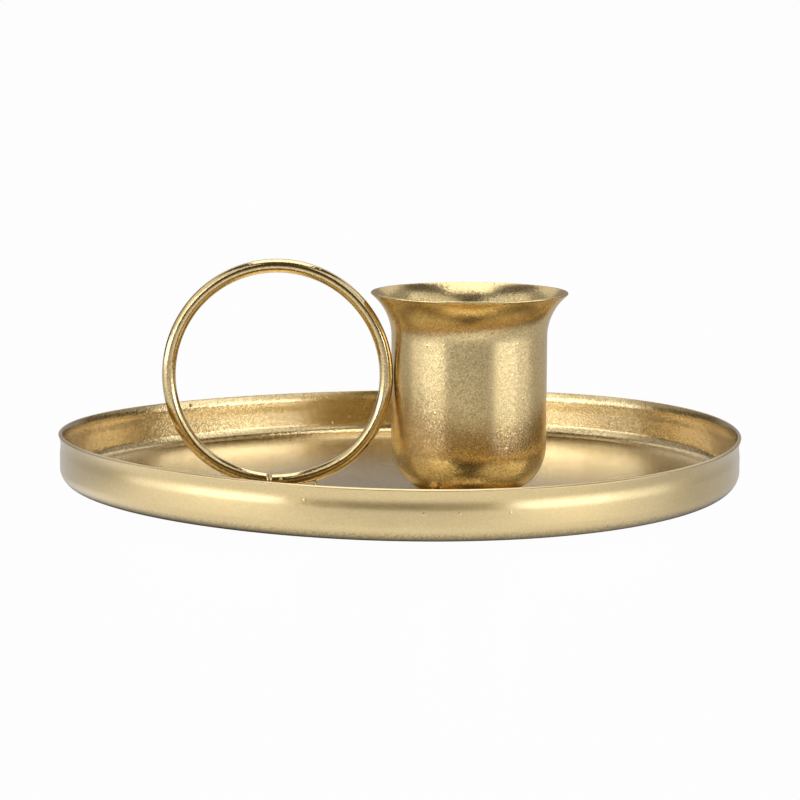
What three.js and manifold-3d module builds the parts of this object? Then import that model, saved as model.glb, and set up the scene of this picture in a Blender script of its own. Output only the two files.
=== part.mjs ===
import * as THREE from 'three';
import { mergeVertices } from 'three/addons/utils/BufferGeometryUtils.js';
import Module from 'manifold-3d';

// A chamberstick: a round tray that carries a drawn candle cup and an upright wire ring for a finger.
// Millimetres, +Z up, +X from the ring towards the cup, origin at the centre of the tray's underside.

// Tray, pressed from sheet
const TRAY_SHEET = 0.6;
const TRAY_DIAMETER = 110; // across the edge of the rim
const TRAY_HEIGHT = 8; // underside to the outer edge of the rim
const TRAY_BEND_RADIUS = 1; // inside, between floor and wall
const TRAY_RIM_FLARE = 0.33; // rim edge outside the neck below it
const TRAY_NECK_DROP = 1.5; // rim edge down to the neck
const TRAY_WALL_BULGE = 0.15; // plain wall outside the neck
const TRAY_WALL_DROP = 3.2; // rim edge down to the plain wall

// Candle cup, drawn from thinner sheet
const CUP_SHEET = 0.5;
const CUP_BORE = 23.6; // takes a 22 mm candle
const CUP_HEIGHT = 30.9; // tray floor to the outer edge of the lip
const CUP_LIP_OVERHANG = 3.2; // lip edge outside the wall
const CUP_FLARE_HEIGHT = 6.7;
const CUP_ROUND_WIDTH = 6; // rounded base, inwards from the wall
const CUP_ROUND_HEIGHT = 7.2; // rounded base, upwards from the floor
const CUP_X = 10.9;
const CUP_Y = -10.85;

// Ring handle, bent from round wire with its ends meeting near the tray floor
const WIRE_DIAMETER = 2.15;
const RING_HOLE = 32.2;
const RING_FORWARD = 3.2; // ring's plane in front of the cup's axis
const RING_SEAM_OFFSET = 1.3; // seam to the side of the ring's lowest point
const RING_CLEARANCE = 0.05; // to the tray floor and to the cup, which the ring touches

// Weld beads
const WELD_CLEARANCE = 0.2; // between a bead and the metal that it joins
const SEAM_BEAD_LENGTH = 0.6;
const FOOT_BEAD_LENGTH = 4;
const FOOT_BEAD_LEG = 1.2;
const FOOT_BEAD_OFFSET = 0.7; // from the ring's lowest point, towards the cup
const SIDE_BEAD_LEG = 1;
const TACK_BEAD_LENGTH = 3.4;
const TACK_BEAD_LEG = 1.8;
const TACK_DIRECTION = 232; // degrees about the cup's axis from +X, to the front bead

// Finish
const GOLD = 0xdcb878;
const SHEET_ROUGHNESS = 0.35;
const WIRE_ROUGHNESS = 0.3;
const WELD_ROUGHNESS = 0.45;

// Fineness of the round surfaces
const TRAY_SEGMENTS = 80;
const TRAY_OUTLINE_STEPS = 2;
const CUP_SEGMENTS = 56;
const CUP_OUTLINE_STEPS = 3;
const RING_STEPS = 64;
const WIRE_SIDES = 12;
const BEAD_SEGMENTS = 12;
const SAME_POINT = 1e-6;

// Sizes and places that follow
const cupRadius = CUP_BORE / 2 + CUP_SHEET;
const flareStart = CUP_HEIGHT - CUP_FLARE_HEIGHT;
const roundHeight = Math.min(CUP_ROUND_HEIGHT, flareStart);
const baseRadius = cupRadius - CUP_ROUND_WIDTH;
const wireRadius = WIRE_DIAMETER / 2;
const ringRadius = RING_HOLE / 2 + wireRadius;
const ringReach = ringRadius + wireRadius;
const ringHeight = RING_CLEARANCE + ringReach; // axis above the tray floor
const cupToWire = cupRadius + RING_CLEARANCE + wireRadius;
const ringX = CUP_X - Math.sqrt(cupToWire ** 2 - RING_FORWARD ** 2) - ringRadius;
const ringY = CUP_Y - RING_FORWARD;
const seamAngle = -Math.PI / 2 - Math.asin(RING_SEAM_OFFSET / ringRadius);
const seamHalfAngle = (SEAM_BEAD_LENGTH / 2 + WELD_CLEARANCE) / ringRadius;

const wasm = await Module();
wasm.setup();

// Points along an outline, without the doubled ones where its stretches join.
function outlinePoints(outline, steps) {
  const points = outline.getPoints(steps);
  return points.filter((point, index) => index === 0 || point.distanceTo(points[index - 1]) > SAME_POINT);
}

// The same outline moved sideways, to the left of the way that it runs.
function offsetPoints(points, distance) {
  return points.map((point, index) => {
    const before = points[Math.max(index - 1, 0)];
    const after = points[Math.min(index + 1, points.length - 1)];
    const along = after.clone().sub(before).normalize();
    return new THREE.Vector2(point.x - along.y * distance, point.y + along.x * distance);
  });
}

// A closed profile, from the axis out and back to the axis, turned about Z.
function turned(points, segments) {
  return new THREE.LatheGeometry(points, segments).rotateX(Math.PI / 2);
}

// A sheet of even thickness, turned from the outline of its outer face.
function turnedSheet(points, thickness, segments) {
  return turned([...points, ...offsetPoints(points, thickness).reverse()], segments);
}

// A closed geometry as a solid that can be cut, with the triangles that shrink to a line left out.
function solidOf(geometry) {
  const bare = geometry.clone();
  bare.deleteAttribute('normal');
  bare.deleteAttribute('uv');
  const merged = mergeVertices(bare);
  const corners = merged.index.array;
  const triangles = [];
  for (let i = 0; i < corners.length; i += 3) {
    const [a, b, c] = corners.slice(i, i + 3);
    if (a !== b && b !== c && c !== a) {
      triangles.push(a, b, c);
    }
  }
  return new wasm.Manifold(new wasm.Mesh({
    numProp: 3,
    vertProperties: Float32Array.from(merged.attributes.position.array),
    triVerts: Uint32Array.from(triangles),
  }));
}

function geometryOf(solid) {
  const { vertProperties, triVerts } = solid.getMesh();
  const geometry = new THREE.BufferGeometry();
  geometry.setAttribute('position', new THREE.BufferAttribute(vertProperties, 3));
  geometry.setIndex(new THREE.BufferAttribute(triVerts, 1));
  geometry.computeVertexNormals();
  return geometry;
}

// Outer face of the tray: flat floor, bend, plain wall, drawn-in neck and flared rim.
function trayOutline() {
  const rimRadius = TRAY_DIAMETER / 2;
  const neckRadius = rimRadius - TRAY_RIM_FLARE;
  const wallRadius = neckRadius + TRAY_WALL_BULGE;
  const neckHeight = TRAY_HEIGHT - TRAY_NECK_DROP;
  const wallTop = TRAY_HEIGHT - TRAY_WALL_DROP;
  const bend = Math.min(TRAY_BEND_RADIUS + TRAY_SHEET, wallTop);
  const waist = (wallTop + neckHeight) / 2;
  const outline = new THREE.Path();
  outline.moveTo(0, 0);
  outline.lineTo(wallRadius - bend, 0);
  outline.absarc(wallRadius - bend, bend, bend, -Math.PI / 2, 0, false);
  outline.lineTo(wallRadius, wallTop);
  outline.bezierCurveTo(wallRadius, waist, neckRadius, waist, neckRadius, neckHeight);
  outline.quadraticCurveTo(neckRadius, (neckHeight + TRAY_HEIGHT) / 2, rimRadius, TRAY_HEIGHT);
  return outlinePoints(outline, TRAY_OUTLINE_STEPS);
}

// Outer face of the cup: flat base, rounded corner, straight wall and flared lip.
function cupOutline() {
  const flareAngle = 2 * Math.atan2(CUP_LIP_OVERHANG, CUP_FLARE_HEIGHT);
  const flareRadius = CUP_FLARE_HEIGHT / Math.sin(flareAngle);
  const outline = new THREE.Path();
  outline.moveTo(0, 0);
  outline.lineTo(baseRadius, 0);
  outline.absellipse(baseRadius, roundHeight, CUP_ROUND_WIDTH, roundHeight, -Math.PI / 2, 0, false, 0);
  outline.lineTo(cupRadius, flareStart);
  outline.absarc(cupRadius + flareRadius, flareStart, flareRadius, Math.PI, Math.PI - flareAngle, true);
  return outlinePoints(outline, CUP_OUTLINE_STEPS);
}

// The wire's centre line: a circle in the upright XZ plane about the ring's axis, open at the seam.
class RingLine extends THREE.Curve {
  getPoint(t, target = new THREE.Vector3()) {
    const angle = seamAngle + seamHalfAngle + t * 2 * (Math.PI - seamHalfAngle);
    return target.set(ringRadius * Math.cos(angle), 0, ringRadius * Math.sin(angle));
  }
}

// A full circle takes two points for each curve segment.
function ringWire() {
  const section = new THREE.Shape();
  section.absarc(0, 0, wireRadius, 0, 2 * Math.PI, false);
  return new THREE.ExtrudeGeometry(section, {
    curveSegments: WIRE_SIDES / 2,
    steps: RING_STEPS,
    extrudePath: new RingLine(),
  });
}

function bead(length, width, height) {
  return new THREE.SphereGeometry(0.5, BEAD_SEGMENTS, BEAD_SEGMENTS / 2).scale(length, width, height);
}

// A bead that lies on a floor at height 0, cut back from the metal that it runs up to.
function floorBead(shape, neighbour) {
  shape.computeBoundingBox();
  const size = shape.boundingBox.getSize(new THREE.Vector3());
  const centre = shape.boundingBox.getCenter(new THREE.Vector3());
  const below = new THREE.BoxGeometry(2 * size.x, 2 * size.y, 2 * size.z);
  below.translate(centre.x, centre.y, -size.z);
  return geometryOf(solidOf(shape).subtract(solidOf(below)).subtract(neighbour));
}

// The ring and the cup, grown by the clearance that beads keep.
function ringSpace() {
  const grown = new THREE.TorusGeometry(ringRadius, wireRadius + WELD_CLEARANCE, WIRE_SIDES, RING_STEPS);
  return solidOf(grown.rotateX(Math.PI / 2).translate(0, 0, ringHeight));
}

function cupSpace() {
  const grown = offsetPoints(cupOutline(), -WELD_CLEARANCE);
  const top = new THREE.Vector2(0, grown.at(-1).y);
  return solidOf(turned([...grown, top], CUP_SEGMENTS));
}

function piece(name, geometry, roughness) {
  const material = new THREE.MeshStandardMaterial({ color: GOLD, metalness: 1, roughness });
  const mesh = new THREE.Mesh(geometry, material);
  mesh.name = name;
  return mesh;
}

// Cup on the tray floor, with a tack weld at its front and one opposite. The middle of a tack lies
// where the rounded base stands one leg above the floor.
function cupGroup() {
  const group = new THREE.Group();
  group.position.set(CUP_X, CUP_Y, TRAY_SHEET);
  group.add(piece('candle_cup', turnedSheet(cupOutline(), CUP_SHEET, CUP_SEGMENTS), SHEET_ROUGHNESS));
  const tackRadius = baseRadius + CUP_ROUND_WIDTH * Math.sqrt(1 - (1 - TACK_BEAD_LEG / roundHeight) ** 2);
  const front = THREE.MathUtils.degToRad(TACK_DIRECTION);
  const directions = { front, rear: front + Math.PI };
  for (const [side, direction] of Object.entries(directions)) {
    const shape = bead(TACK_BEAD_LENGTH, 2 * TACK_BEAD_LEG, 2 * TACK_BEAD_LEG);
    shape.translate(0, -tackRadius, 0).rotateZ(direction + Math.PI / 2);
    group.add(piece(`cup_tack_weld_${side}`, floorBead(shape, cupSpace()), WELD_ROUGHNESS));
  }
  return group;
}

// Ring on the tray floor against the cup, with its seam bead between the wire's ends, a foot weld on
// either side of its lowest point and a bead under the wire where it stands one leg above the floor.
function ringGroup() {
  const group = new THREE.Group();
  group.position.set(ringX, ringY, TRAY_SHEET);
  const wire = piece('ring_handle', ringWire(), WIRE_ROUGHNESS);
  wire.position.z = ringHeight;
  group.add(wire);

  const seamShape = bead(SEAM_BEAD_LENGTH, WIRE_DIAMETER, WIRE_DIAMETER);
  const seam = piece('ring_seam_weld', seamShape, WELD_ROUGHNESS);
  seam.position.set(ringRadius * Math.cos(seamAngle), 0, ringHeight + ringRadius * Math.sin(seamAngle));
  seam.rotation.y = -seamAngle - Math.PI / 2;
  group.add(seam);

  const sides = { front: -1, rear: 1 };
  for (const [side, sign] of Object.entries(sides)) {
    const shape = bead(FOOT_BEAD_LENGTH, 2 * FOOT_BEAD_LEG, 2 * FOOT_BEAD_LEG);
    shape.translate(FOOT_BEAD_OFFSET, sign * wireRadius, 0);
    group.add(piece(`ring_foot_weld_${side}`, floorBead(shape, ringSpace()), WELD_ROUGHNESS));
  }

  const sideOffset = Math.sqrt(ringReach ** 2 - (ringReach - SIDE_BEAD_LEG) ** 2);
  const sideShape = bead(2 * SIDE_BEAD_LEG, 2 * SIDE_BEAD_LEG, 2 * SIDE_BEAD_LEG);
  sideShape.translate(sideOffset, 0, 0);
  group.add(piece('ring_side_weld', floorBead(sideShape, ringSpace()), WELD_ROUGHNESS));
  return group;
}

const candlestick = new THREE.Group();
candlestick.add(piece('tray', turnedSheet(trayOutline(), TRAY_SHEET, TRAY_SEGMENTS), SHEET_ROUGHNESS));
candlestick.add(cupGroup());
candlestick.add(ringGroup());

export default candlestick;
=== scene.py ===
"""Gold chamberstick: a round tray with a candle cup and a wire finger ring, in a plain studio.

Metres, +Z up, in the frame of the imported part, with the photograph's camera looking along +Y.
"""
import math

import bmesh
import bpy
from mathutils import Matrix, Vector, noise


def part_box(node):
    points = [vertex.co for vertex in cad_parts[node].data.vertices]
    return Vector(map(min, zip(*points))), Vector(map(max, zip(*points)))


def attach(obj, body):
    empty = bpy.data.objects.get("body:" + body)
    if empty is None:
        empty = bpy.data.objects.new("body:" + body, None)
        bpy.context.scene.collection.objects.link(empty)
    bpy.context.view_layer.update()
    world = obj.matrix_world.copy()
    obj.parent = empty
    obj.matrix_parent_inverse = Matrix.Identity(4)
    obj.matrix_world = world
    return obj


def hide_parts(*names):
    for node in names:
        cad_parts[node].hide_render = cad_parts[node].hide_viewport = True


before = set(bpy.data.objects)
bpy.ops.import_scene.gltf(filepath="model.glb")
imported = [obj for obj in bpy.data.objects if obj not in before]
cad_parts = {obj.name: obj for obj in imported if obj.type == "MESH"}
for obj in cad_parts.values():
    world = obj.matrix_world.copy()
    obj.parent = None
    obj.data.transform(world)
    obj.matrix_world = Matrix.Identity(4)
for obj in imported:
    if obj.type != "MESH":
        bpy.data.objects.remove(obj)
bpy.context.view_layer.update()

MM = 0.001

# Camera, as found from the outlines in the photograph
EYE = Vector((0, -517.8, 83.5)) * MM
PITCH_DOWN = math.radians(7.735)
ROLL = math.radians(0.24)
LENS = 145.4
SENSOR = 36

# Tray, with its radius and height taken from the frame
TRAY_SHEET = 0.6 * MM
TRAY_BEND = 2.1 * MM
TRAY_RIM_FLARE = 0.33 * MM
TRAY_NECK_DROP = 1.5 * MM
TRAY_WALL_BULGE = 0.12 * MM
TRAY_WALL_DROP = 3.2 * MM
TRAY_SEGMENTS = 320
TRAY_TWIST = 0.5 * MM
TRAY_SADDLE = 0.4 * MM
TRAY_CROWN = 0.3 * MM
TRAY_FLAT_RADIUS = 28 * MM
RIM_RUN_ANGLE = 132.3  # degrees about the tray's axis from +X
RIM_RUN_DROP = 0.75 * MM
RIM_RUN_SIZE = Vector((0.24, 0.24, 0.36)) * MM

# Cup, with its axis, lip and base taken from the frame
CUP_WALL = 0.5 * MM
CUP_LIP_EDGE = 0.4 * MM
CUP_LIP_OVERHANG = 3.2 * MM
CUP_FLARE_HEIGHT = 6.7 * MM
CUP_ROUND_WIDTH = 6.0 * MM
CUP_ROUND_HEIGHT = 7.2 * MM
CUP_SEGMENTS = 224

# Ring, with its axis and sizes taken from the frame
RING_STEPS = 288
WIRE_SIDES = 28
SEAM_OFFSET = 1.3 * MM
SEAM_HALF = 0.08 * MM
SEAM_MISMATCH = 0.1 * MM
SEAM_LIP = 0.28 * MM
RING_FLAT = 0.45 * MM
RING_FLAT_REACH = 9.5 * MM
RING_OVAL = 0.14 * MM
WIRE_END_ROUND = 0.3 * MM
SEAM_MISMATCH_REACH = 3 * MM

# Weld beads, on the places of their nodes: share of the height, share of the width, run over the floor (None for
# a bead clear of it), mm drawn in under the cup, and drops on the wire as (degrees from the ring's foot, degrees
# round the wire from its front, radius in mm)
BEAD_SINK = 0.25 * MM
BEAD_RUN_HEIGHT = 0.2 * MM
BEADS = {
    "ring_seam_weld": (0.9, 0.85, None, 0, ()),
    "ring_foot_weld_front": (1.0, 0.9, 0.2, 0, ((2.2, 18, 0.3), (2.1, 38, 0.16))),
    "ring_foot_weld_rear": (1.0, 0.9, 0.2, 0, ()),
    "ring_side_weld": (1.8, 0.4, 0.7, 0, ((20.5, 40, 0.1), (22.5, 62, 0.12), (23.5, 48, 0.08), (25, 66, 0.12))),
    "cup_tack_weld_front": (0.55, 0.9, 0.2, 0.6, ()),
    "cup_tack_weld_rear": (0.55, 0.9, 0.2, 0.6, ()),
}

# Gold lacquer
FLAKE = 0.19 * MM
LIGHT_GOLD = (0.92, 0.725, 0.36)
DARK_GOLD = (0.45, 0.315, 0.105)
RED_GOLD = (0.72, 0.505, 0.21)
CLOUDS_PER_METRE = 130.0
NIBS_PER_METRE = 330.0
NIB_HEIGHT = 0.05 * MM
SCUFFS_PER_METRE = (150, 2400, 2400)
SCUFF_DEPTH = 0.02 * MM
OUTSIDE_RADIUS = 54.6 * MM
OUTSIDE_BLEND = 0.2 * MM
FOOT_HEIGHT = 10 * MM
FOOT_BLEND = 3 * MM
CUP_EDGE_TINT = (0.9, 0.8, 0.6)

# Studio: a white floor that metal sees beyond the tray, glowing in reflections as a painted pool of light in front
# of it with painted shade under the tray's edge, and softboxes
FLOOR_HALF = 15
FLOOR_DROP = 0.96 * MM
FLOOR_GREY = (0.3, 0.3, 0.3, 1)
CAMERA_SHARE = 0.98
# painted shade: the floor's glow in reflections fades out between these radii, under the tray's edge
PAINTED_SHADE_UNDER_TRAY, PAINTED_SHADE_BEYOND_TRAY = 0.052, 0.057
# painted pool of light: the floor's glow in reflections is brightest round this point in front of the tray and dims
# away from it
PAINTED_POOL_CENTRE = (-0.018, -0.072, 0)
PAINTED_POOL_INNER, PAINTED_POOL_OUTER = 0.05, 0.09
PAINTED_POOL_AWAY = 0.4
ROOM = (0.08, 0.06, 0.035)
LAMP_DISTANCE = 1.2
WHITE = (1, 1, 1)
COOL = (1, 1.03, 1.1)
PALE = (1, 1.03, 1.05)

tray_low, tray_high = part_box("tray")
cup_low, cup_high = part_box("candle_cup")
ring_low, ring_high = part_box("ring_handle")

tray_radius = (tray_high.x - tray_low.x) / 2
cup_axis = (cup_low + cup_high) / 2
ring_axis = (ring_low + ring_high) / 2
wire_radius = (ring_high.y - ring_low.y) / 2
ring_radius = (ring_high.x - ring_low.x) / 2 - wire_radius


def arc(centre, radii, start, end, steps):
    """Points of an elliptical arc between two angles in degrees."""
    points = []
    for i in range(steps + 1):
        angle = math.radians(start + (end - start) * i / steps)
        points.append((centre[0] + radii[0] * math.cos(angle), centre[1] + radii[1] * math.sin(angle)))
    return points


def ease(low, high, steps):
    """Points from one corner to another that leave and arrive upright."""
    points = []
    for i in range(steps + 1):
        t = i / steps
        share = t * t * (3 - 2 * t)
        points.append((low[0] + (high[0] - low[0]) * share, low[1] + (high[1] - low[1]) * t))
    return points


def flare(low, high, steps):
    """Points that leave upright and bend outwards to a rim."""
    points = []
    for i in range(steps + 1):
        t = i / steps
        points.append((low[0] + (high[0] - low[0]) * t * t, low[1] + (high[1] - low[1]) * t))
    return points


def joined(*stretches):
    """One outline from several stretches, without doubled points."""
    points = []
    for stretch in stretches:
        for point in stretch:
            if not points or math.dist(point, points[-1]) > 1e-7:
                points.append(point)
    return points


def sheet_profile(outer, thickness, edge, crest):
    """A closed profile from the outline of the outer face, thinning to a rounded edge.

    thickness and edge are the sheet at the axis and at the rim, and crest is how far the edge swells, as a share of
    the sheet.
    """
    count = len(outer)
    travelled = [0.0]
    for before, after in zip(outer, outer[1:]):
        travelled.append(travelled[-1] + math.dist(before, after))
    inner = []
    for i, (r, z) in enumerate(outer):
        ahead = outer[min(i + 1, count - 1)]
        behind = outer[max(i - 1, 0)]
        along = Vector((ahead[0] - behind[0], ahead[1] - behind[1])).normalized()
        t = thickness + (edge - thickness) * (travelled[i] / travelled[-1]) ** 3
        inner.append((r - along.y * t, z + along.x * t))
    last = Vector(outer[-1])
    across = Vector(inner[-1]) - last
    outward = Vector((across.y, -across.x))
    rounded = []
    for i in range(1, 8):
        angle = math.pi * i / 8
        point = last + across * (0.5 - 0.5 * math.cos(angle)) + outward * crest * math.sin(angle)
        rounded.append(tuple(point))
    return outer + rounded + inner[::-1]


def link_mesh(name, bm):
    """A new smooth object from a bmesh."""
    bmesh.ops.recalc_face_normals(bm, faces=bm.faces)
    mesh = bpy.data.meshes.new(name)
    bm.to_mesh(mesh)
    bm.free()
    mesh.shade_smooth()
    piece = bpy.data.objects.new(name, mesh)
    bpy.context.scene.collection.objects.link(piece)
    return piece


def turned(name, profile, segments, centre):
    """A closed profile turned about an upright axis."""
    bm = bmesh.new()
    rings = []
    for r, z in profile:
        if r < 1e-7:
            rings.append([bm.verts.new((centre.x, centre.y, z))])
            continue
        ring = []
        for i in range(segments):
            angle = 2 * math.pi * i / segments
            ring.append(bm.verts.new((centre.x + r * math.cos(angle), centre.y + r * math.sin(angle), z)))
        rings.append(ring)
    for low, high in zip(rings, rings[1:]):
        for i in range(segments):
            j = (i + 1) % segments
            corners = [low[i % len(low)], low[j % len(low)], high[j % len(high)], high[i % len(high)]]
            bm.faces.new(list(dict.fromkeys(corners)))
    return link_mesh(name, bm)


def warp(place):
    """How far the thin tray is sprung out of flat at a place, growing from its middle to its rim."""
    outward = max(0.0, math.hypot(place.x, place.y) - TRAY_FLAT_RADIUS) / (tray_radius - TRAY_FLAT_RADIUS)
    around = math.atan2(place.y, place.x)
    sprung = TRAY_SADDLE * math.cos(2 * around) + TRAY_TWIST * math.sin(2 * around)
    return outward * outward * (sprung - TRAY_CROWN)


def add_rim_run(mesh, radius):
    """A run of lacquer that has set just inside the tray's rim."""
    around = math.radians(RIM_RUN_ANGLE)
    place = Vector((radius * math.cos(around), radius * math.sin(around), tray_high.z - RIM_RUN_DROP))
    place.z += warp(place)
    bm = bmesh.new()
    bm.from_mesh(mesh)
    add_lump(bm, place, RIM_RUN_SIZE, 0.2, 9)
    bm.to_mesh(mesh)
    bm.free()
    mesh.shade_smooth()


def make_tray():
    """The pressed tray: floor, bend, wall, drawn-in neck and flared rim."""
    rim_height = tray_high.z - TRAY_SHEET * 0.35
    neck_radius = tray_radius - TRAY_RIM_FLARE
    wall_radius = neck_radius + TRAY_WALL_BULGE
    wall_top = rim_height - TRAY_WALL_DROP
    neck_height = rim_height - TRAY_NECK_DROP
    floor_line = [(wall_radius * i / 24, 0.0) for i in range(23)]
    bend = TRAY_BEND + TRAY_SHEET
    outer = joined(
        floor_line,
        arc((wall_radius - bend, bend), (bend, bend), -90, 0, 12),
        ease((wall_radius, wall_top), (neck_radius, neck_height), 8),
        flare((neck_radius, neck_height), (tray_radius, rim_height), 8),
    )
    profile = sheet_profile(outer, TRAY_SHEET, TRAY_SHEET, 0.2)
    tray = turned("tray_shell", profile, TRAY_SEGMENTS, Vector((0, 0, 0)))
    for vert in tray.data.vertices:
        vert.co.z += warp(vert.co)
    add_rim_run(tray.data, neck_radius - TRAY_SHEET)
    return tray


def make_cup():
    """The drawn cup: flat base, rounded corner, straight wall and flared lip."""
    seat = cup_low.z
    wall = (cup_high.x - cup_low.x) / 2 - CUP_LIP_OVERHANG
    lip_height = cup_high.z - CUP_LIP_EDGE * 0.7
    flare_start = lip_height - CUP_FLARE_HEIGHT
    flare_angle = 2 * math.atan2(CUP_LIP_OVERHANG, CUP_FLARE_HEIGHT)
    flare_radius = CUP_FLARE_HEIGHT / math.sin(flare_angle)
    base = wall - CUP_ROUND_WIDTH
    round_centre = (base, seat + CUP_ROUND_HEIGHT)
    outer = joined(
        [(base * i / 6, seat) for i in range(6)],
        arc(round_centre, (CUP_ROUND_WIDTH, CUP_ROUND_HEIGHT), -90, 0, 20),
        [(wall, seat + CUP_ROUND_HEIGHT + (flare_start - seat - CUP_ROUND_HEIGHT) * i / 8) for i in range(9)],
        arc((wall + flare_radius, flare_start), (flare_radius, flare_radius), 180,
            180 - math.degrees(flare_angle), 16),
    )
    profile = sheet_profile(outer, CUP_WALL, CUP_LIP_EDGE, 0.5)
    return turned("cup_shell", profile, CUP_SEGMENTS, cup_axis)


def bend_radius(angle):
    """Distance of the wire's centre line from the ring's axis: less at the flattened foot, and a little oval."""
    from_foot = ring_radius * math.remainder(angle + math.pi / 2, 2 * math.pi)
    flattened = RING_FLAT / (1 + (from_foot / RING_FLAT_REACH) ** 6)
    oval = RING_OVAL * (max(0, math.sin(angle)) ** 2 - max(0, -math.cos(angle)) ** 2)
    return ring_radius + oval - flattened


def on_wire(angle, turn):
    """A place on the wire's skin, by degrees round the ring from its foot and from its front round the wire."""
    around = math.radians(angle - 90)
    up = math.radians(turn)
    reach = bend_radius(around) - wire_radius * math.sin(up)
    return ring_axis + Vector((reach * math.cos(around), -wire_radius * math.cos(up), reach * math.sin(around)))


def make_ring():
    """The bent wire, flattened at its foot, with rounded ends that meet a little out of line at the seam."""
    seam = -math.pi / 2 - math.asin(SEAM_OFFSET / ring_radius)
    half = SEAM_HALF / ring_radius
    bm = bmesh.new()
    loops = []
    for i in range(RING_STEPS + 1):
        t = i / RING_STEPS
        angle = seam + half + t * 2 * (math.pi - half)
        from_end = min(t, 1 - t) * 2 * math.pi * ring_radius
        rounding = min(from_end / WIRE_END_ROUND, 1.0)
        radius = wire_radius * (0.9 + 0.1 * math.sqrt(1 - (1 - rounding) ** 2))
        nearness = math.exp(-((from_end / SEAM_MISMATCH_REACH) ** 2))
        sign = 1 if t > 0.5 else -1
        reach = bend_radius(angle) - sign * SEAM_MISMATCH / 2 * nearness
        centre = Vector((reach * math.cos(angle), 0, reach * math.sin(angle))) + ring_axis
        outwards = Vector((math.cos(angle), 0, math.sin(angle)))
        at_lip = math.exp(-((from_end / SEAM_LIP) ** 2))
        loop = []
        for j in range(WIRE_SIDES):
            around = 2 * math.pi * j / WIRE_SIDES
            offset = outwards * math.cos(around) + Vector((0, 1, 0)) * math.sin(around)
            raised = 0.1 * max(0, -math.sin(around)) - 0.12 * max(0, -math.cos(around))
            loop.append(bm.verts.new(centre + offset * radius * (1 + at_lip * raised)))
        loops.append(loop)
    for low, high in zip(loops, loops[1:]):
        for j in range(WIRE_SIDES):
            k = (j + 1) % WIRE_SIDES
            bm.faces.new((low[j], low[k], high[k], high[j]))
    bm.faces.new(loops[0])
    bm.faces.new(loops[-1])
    return link_mesh("ring_wire", bm)


def add_lump(bm, middle, half, lump, seed):
    """A rounded lump of metal with a lumpy, rippled skin, from its middle and half its size."""
    made = bmesh.ops.create_icosphere(bm, subdivisions=4, radius=1)
    for vert in made["verts"]:
        unit = vert.co.copy()
        swell = 1 + lump * noise.noise(unit * 1.7 + Vector((seed, 0, 0)))
        swell += 0.35 * lump * noise.noise(unit * 4.5 + Vector((0, seed, 0)))
        vert.co = middle + Vector((unit.x * half.x, unit.y * half.y, unit.z * half.z)) * swell
    return made["verts"]


def make_bead(weld, seed, rise, girth, flow, drawn, drops):
    """A weld bead on the place of its node, with drops of spatter on the wire beside it.

    rise and girth are shares of the node's height and width. flow is how far the bead runs out over the tray floor,
    and None for a bead that hangs clear of the floor. drawn is how far it is drawn in under the cup, in mm.
    """
    low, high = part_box(weld)
    half = (high - low) / 2
    half = Vector((half.x * girth, half.y * girth, half.z * rise))
    middle = (low + high) / 2
    to_cup = Vector((cup_axis.x - middle.x, cup_axis.y - middle.y, 0)).normalized()
    middle += to_cup * drawn * MM
    bm = bmesh.new()
    if flow is None:
        add_lump(bm, middle, half, 0.25, seed)
    else:
        middle.z = low.z
        half.z *= 2
        for vert in add_lump(bm, middle, half, 0.2, seed):
            height = max(vert.co.z - low.z, -BEAD_SINK)
            run = 1 + flow * math.exp(-max(height, 0) / BEAD_RUN_HEIGHT)
            vert.co = Vector((middle.x + (vert.co.x - middle.x) * run, middle.y + (vert.co.y - middle.y) * run,
                              low.z + height))
    for i, (angle, turn, radius) in enumerate(drops):
        add_lump(bm, on_wire(angle, turn), Vector((radius, radius, radius)) * MM, 0.2, seed + i + 0.5)
    return link_mesh(weld + "_bead", bm)


def node_tree(name):
    """A new material with its node tree cleared but for the output."""
    material = bpy.data.materials.new(name)
    material.use_nodes = True
    tree = material.node_tree
    tree.nodes.clear()
    output = tree.nodes.new("ShaderNodeOutputMaterial")
    return material, tree, output


def node(tree, kind, settings=None, **inputs):
    """A new node, with properties from settings and sockets from inputs (a value or another socket)."""
    made = tree.nodes.new(kind)
    for key, value in (settings or {}).items():
        setattr(made, key, value)
    for key, value in inputs.items():
        socket = made.inputs[key.replace("_", " ")]
        if isinstance(value, bpy.types.NodeSocket):
            tree.links.new(value, socket)
        else:
            socket.default_value = value
    return made


def spread(tree, value, low, high, to_low, to_high, kind="LINEAR"):
    """A value's range from low to high carried over to another range, held at its ends."""
    made = node(tree, "ShaderNodeMapRange", {"interpolation_type": kind}, Value=value)
    made.inputs["From Min"].default_value = low
    made.inputs["From Max"].default_value = high
    made.inputs["To Min"].default_value = to_low
    made.inputs["To Max"].default_value = to_high
    return made.outputs["Result"]


def fade(tree, value, low, high, to_low, to_high):
    """As spread, but leaving and arriving gently."""
    return spread(tree, value, low, high, to_low, to_high, "SMOOTHSTEP")


def vector(tree, operation, first, second=None):
    """A vector worked out from one or two others; the second is a socket, a vector or a scale."""
    made = node(tree, "ShaderNodeVectorMath", {"operation": operation})
    tree.links.new(first, made.inputs[0])
    socket = made.inputs["Scale"] if operation == "SCALE" else made.inputs[1]
    if isinstance(second, bpy.types.NodeSocket):
        tree.links.new(second, socket)
    elif second is not None:
        socket.default_value = second
    return made.outputs["Vector"]


def length(tree, first):
    """The length of a vector."""
    made = node(tree, "ShaderNodeVectorMath", {"operation": "LENGTH"})
    tree.links.new(first, made.inputs[0])
    return made.outputs["Value"]


def number(tree, operation, first, second):
    """A value worked out from two others."""
    made = node(tree, "ShaderNodeMath", {"operation": operation})
    tree.links.new(first, made.inputs[0])
    tree.links.new(second, made.inputs[1])
    return made.outputs["Value"]


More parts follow.
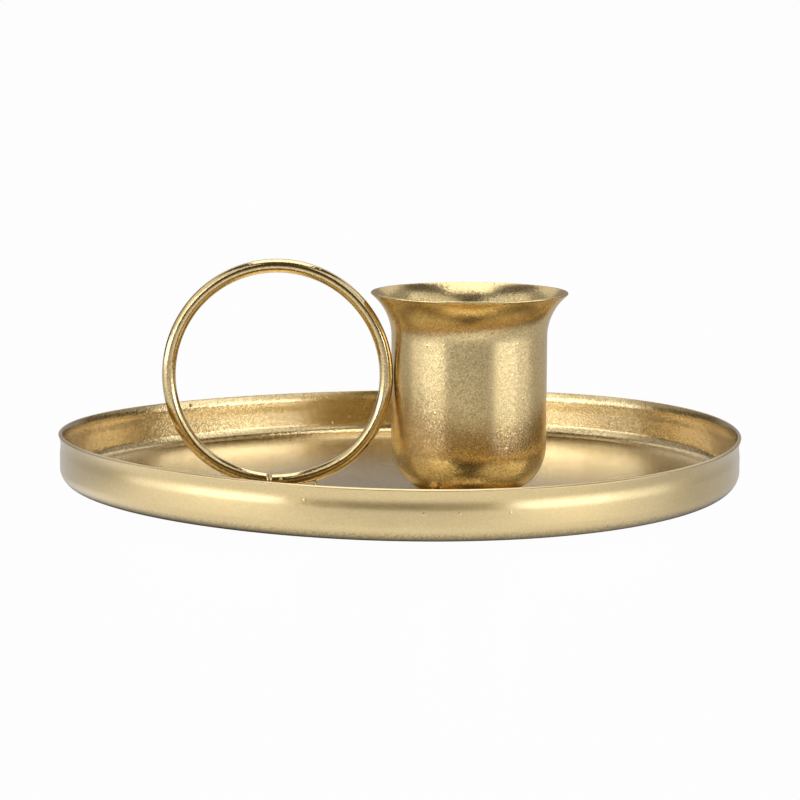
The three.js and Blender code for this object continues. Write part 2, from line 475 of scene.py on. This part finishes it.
def blend(tree, share, first, second):
    """One colour mixed into another; each is a colour or a socket."""
    made = node(tree, "ShaderNodeMix", {"data_type": "RGBA"})
    tree.links.new(share, made.inputs["Factor"])
    for key, value in (("A", first), ("B", second)):
        socket = next(i for i in made.inputs if i.name == key and i.type == "RGBA")
        if isinstance(value, bpy.types.NodeSocket):
            tree.links.new(value, socket)
        else:
            socket.default_value = (*value, 1)
    return next(o for o in made.outputs if o.type == "RGBA")


def gold(name, roughness, coat, coat_roughness, tilt, tint, scuffs, rim=None, foot=None, edge=WHITE):
    """Gold lacquer on metal: leaning flakes, clouds of tone, a few raised nibs and faint scuffs.

    tilt is how far the flakes lean and tint how far their colour varies. Beyond the radius rim, on the outside of
    a wall, the flakes lie flatter and the skin is duller. Below the height foot they stand out more.
    edge is the tint of the metal seen at a slant.
    """
    material, tree, output = node_tree(name)
    place = node(tree, "ShaderNodeTexCoord").outputs["Object"]
    flakes = node(tree, "ShaderNodeTexVoronoi", Vector=place, Scale=1 / FLAKE).outputs["Color"]
    cloud = node(tree, "ShaderNodeTexNoise", Vector=place, Scale=CLOUDS_PER_METRE, Detail=3.0, Roughness=0.6)
    nibs = node(tree, "ShaderNodeTexVoronoi", Vector=place, Scale=NIBS_PER_METRE)
    rubbed = node(tree, "ShaderNodeTexNoise", Vector=vector(tree, "MULTIPLY", place, SCUFFS_PER_METRE),
                  Scale=1.0, Detail=3.0, Roughness=0.7)

    grain = vector(tree, "SUBTRACT", flakes, (0.5, 0.5, 0.5))
    dull = spread(tree, cloud.outputs["Fac"], 0.3, 0.7, roughness - 0.03, roughness + 0.03)
    dull = number(tree, "ADD", dull, spread(tree, rubbed.outputs["Fac"], 0.35, 0.75, -scuffs, scuffs))
    if rim:
        outside = length(tree, vector(tree, "MULTIPLY", place, (1, 1, 0)))
        grain = vector(tree, "SCALE", grain, spread(tree, outside, rim - OUTSIDE_BLEND, rim, 1.0, 0.2))
        dull = number(tree, "ADD", dull, spread(tree, outside, rim - OUTSIDE_BLEND, rim, 0.0, 0.1))
    if foot:
        height = node(tree, "ShaderNodeSeparateXYZ", Vector=place).outputs["Z"]
        grain = vector(tree, "SCALE", grain, fade(tree, height, foot - FOOT_BLEND, foot + FOOT_BLEND, 0.9, 0.6))
    chance = node(tree, "ShaderNodeSeparateXYZ", Vector=grain).outputs["X"]
    tone = blend(tree, spread(tree, chance, -0.5, 0.5, 0.5 - tint / 2, 0.5 + tint / 2), LIGHT_GOLD, DARK_GOLD)
    tone = blend(tree, spread(tree, cloud.outputs["Fac"], 0.4, 0.75, 0.0, 0.3), tone, RED_GOLD)
    lean = vector(tree, "SCALE", grain, tilt)
    skin = vector(tree, "ADD", lean, node(tree, "ShaderNodeNewGeometry").outputs["Normal"])
    skin = vector(tree, "NORMALIZE", skin)
    raised = node(tree, "ShaderNodeBump", Strength=1.0, Distance=NIB_HEIGHT, Normal=skin,
                  Height=spread(tree, nibs.outputs["Distance"], 0.0, 0.09, 1.0, 0.0))
    worn = node(tree, "ShaderNodeBump", Strength=1.0, Distance=SCUFF_DEPTH * scuffs,
                Height=rubbed.outputs["Fac"], Normal=raised.outputs["Normal"])
    shader = node(tree, "ShaderNodeBsdfPrincipled", Metallic=1.0, Normal=worn.outputs["Normal"],
                  Base_Color=tone, Roughness=dull,
                  Coat_Weight=coat, Coat_Roughness=coat_roughness, Coat_IOR=1.8,
                  Specular_Tint=(*edge, 1))
    tree.links.new(shader.outputs["BSDF"], output.inputs["Surface"])
    return material


def make_floor():
    """A wide white floor under the tray: it glows white to the camera, and in reflections it glows as a painted
    pool of light in front of the tray with painted shade under the tray's edge; its grey acrylic keeps a soft
    shadow.
    """
    bm = bmesh.new()
    bmesh.ops.create_grid(bm, x_segments=1, y_segments=1, size=FLOOR_HALF)
    floor = link_mesh("studio_floor", bm)
    floor.location.z = -FLOOR_DROP
    material, tree, output = node_tree("white_floor")
    acrylic = node(tree, "ShaderNodeBsdfPrincipled", Base_Color=FLOOR_GREY, Roughness=0.25, IOR=1.5)
    # the glow makes the floor white to the camera, and in reflections it carries the painted pool of light and the
    # painted shade
    glow = node(tree, "ShaderNodeEmission", Color=(1, 1, 1, 1), Strength=1.0)
    path = node(tree, "ShaderNodeLightPath")
    mirrored = number(tree, "MAXIMUM", path.outputs["Is Glossy Ray"], path.outputs["Is Transmission Ray"])
    place = node(tree, "ShaderNodeTexCoord").outputs["Object"]
    # painted shade: in reflections the floor's glow fades out under the tray's edge
    clear = fade(tree, length(tree, place), PAINTED_SHADE_UNDER_TRAY, PAINTED_SHADE_BEYOND_TRAY, 0.0, 1.0)
    # painted pool of light: in reflections the floor glows brightest near a point in front of the tray and dimmer
    # further off
    from_painted_pool = length(tree, vector(tree, "SUBTRACT", place, PAINTED_POOL_CENTRE))
    pool = fade(tree, from_painted_pool, PAINTED_POOL_INNER, PAINTED_POOL_OUTER, 1.0, PAINTED_POOL_AWAY)
    # the share of painted glow that reflections see: the painted pool of light, cut by the painted shade under the
    # tray's edge
    part = number(tree, "MULTIPLY", mirrored, number(tree, "MULTIPLY", clear, pool))
    share = node(tree, "ShaderNodeMath", {"operation": "MULTIPLY_ADD"})
    tree.links.new(path.outputs["Is Camera Ray"], share.inputs[0])
    share.inputs[1].default_value = CAMERA_SHARE
    tree.links.new(part, share.inputs[2])
    mix = node(tree, "ShaderNodeMixShader", Fac=share.outputs["Value"])
    tree.links.new(acrylic.outputs["BSDF"], mix.inputs[1])
    tree.links.new(glow.outputs["Emission"], mix.inputs[2])
    tree.links.new(mix.outputs["Shader"], output.inputs["Surface"])
    floor.data.materials.append(material)


def make_lamp(name, azimuth, elevation, width, height, strength, colour):
    """A softbox that faces the object, with its direction given from the camera's side."""
    lamp = bpy.data.lights.new(name, "AREA")
    lamp.shape = "RECTANGLE"
    lamp.size = width
    lamp.size_y = height
    lamp.energy = strength * math.pi * width * height
    lamp.color = colour
    around = math.radians(azimuth)
    up = math.radians(elevation)
    towards = Vector((math.sin(around) * math.cos(up), -math.cos(around) * math.cos(up), math.sin(up)))
    holder = bpy.data.objects.new(name, lamp)
    holder.location = towards * LAMP_DISTANCE
    holder.rotation_euler = towards.to_track_quat("Z", "Y").to_euler()
    holder.visible_camera = False
    bpy.context.scene.collection.objects.link(holder)


def make_camera():
    """The photograph's camera."""
    lens = bpy.data.cameras.new("photo_camera")
    lens.lens = LENS
    lens.sensor_width = SENSOR
    lens.clip_end = 100
    camera = bpy.data.objects.new("photo_camera", lens)
    turn = Matrix.Rotation(math.pi / 2 - PITCH_DOWN, 4, "X") @ Matrix.Rotation(ROLL, 4, "Z")
    camera.matrix_world = Matrix.Translation(EYE) @ turn
    bpy.context.scene.collection.objects.link(camera)
    bpy.context.scene.camera = camera


def make_world(colour):
    """The dim room round the lamps."""
    world = bpy.data.worlds.new("studio")
    world.use_nodes = True
    world.node_tree.nodes["Background"].inputs["Color"].default_value = (*colour, 1)
    bpy.context.scene.world = world


make_camera()

tray_gold = gold("tray_gold", 0.24, 1.0, 0.16, 0.11, 0.9, 0.03, rim=OUTSIDE_RADIUS)
cup_gold = gold("cup_gold", 0.23, 0.8, 0.3, 0.09, 1.0, 0.02, foot=FOOT_HEIGHT, edge=CUP_EDGE_TINT)
wire_gold = gold("wire_gold", 0.15, 1.0, 0.13, 0.05, 0.6, 0.02)
weld_gold = gold("weld_gold", 0.2, 1.0, 0.12, 0.2, 1.0, 0.02)

pieces = [
    (make_tray(), "tray", "tray_gold", tray_gold),
    (make_cup(), "candle_cup", "cup_gold", cup_gold),
    (make_ring(), "ring_handle", "wire_gold", wire_gold),
]
for seed, (bead, (rise, girth, flow, drawn, drops)) in enumerate(BEADS.items()):
    pieces.append((make_bead(bead, seed, rise, girth, flow, drawn, drops), bead, "weld_gold", weld_gold))
for piece, replaced, slot, material in pieces:
    piece.data.materials.append(material)
    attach(piece, "root")
    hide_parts(replaced)

make_floor()
make_lamp("left_low_front", -54, 4, 0.74, 0.34, 3.6, COOL)
make_lamp("left_low_side", -84, 4, 0.6, 0.34, 2.2, COOL)
make_lamp("left_middle_front", -46, 24, 0.64, 0.47, 1.65, PALE)
make_lamp("left_middle_side", -79, 24, 0.74, 0.47, 0.8, PALE)
make_lamp("left_high", -63, 48, 1.56, 0.47, 0.85, PALE)
make_lamp("left_rear", -118, 30, 0.9, 0.8, 0.3, WHITE)
make_lamp("right_low_front", 54, 4, 0.74, 0.34, 3.6, COOL)
make_lamp("right_low_side", 84, 4, 0.6, 0.34, 1.9, COOL)
make_lamp("right_middle_front", 46, 24, 0.64, 0.47, 0.9, PALE)
make_lamp("right_middle_side", 79, 24, 0.74, 0.47, 1.35, PALE)
make_lamp("right_high", 62, 48, 1.5, 0.47, 0.85, PALE)
make_lamp("right_rear", 118, 30, 0.9, 0.8, 0.3, WHITE)
make_lamp("back_low", 180, 10, 1.56, 0.5, 0.22, WHITE)
make_lamp("back_high", 180, 38, 1.56, 0.6, 0.8, WHITE)
make_lamp("top_front", 0, 81, 0.73, 0.38, 2.0, WHITE)
make_lamp("top_back", 180, 71, 0.73, 0.83, 2.0, WHITE)
make_world(ROOM)

bpy.context.scene.view_settings.view_transform = "Standard"
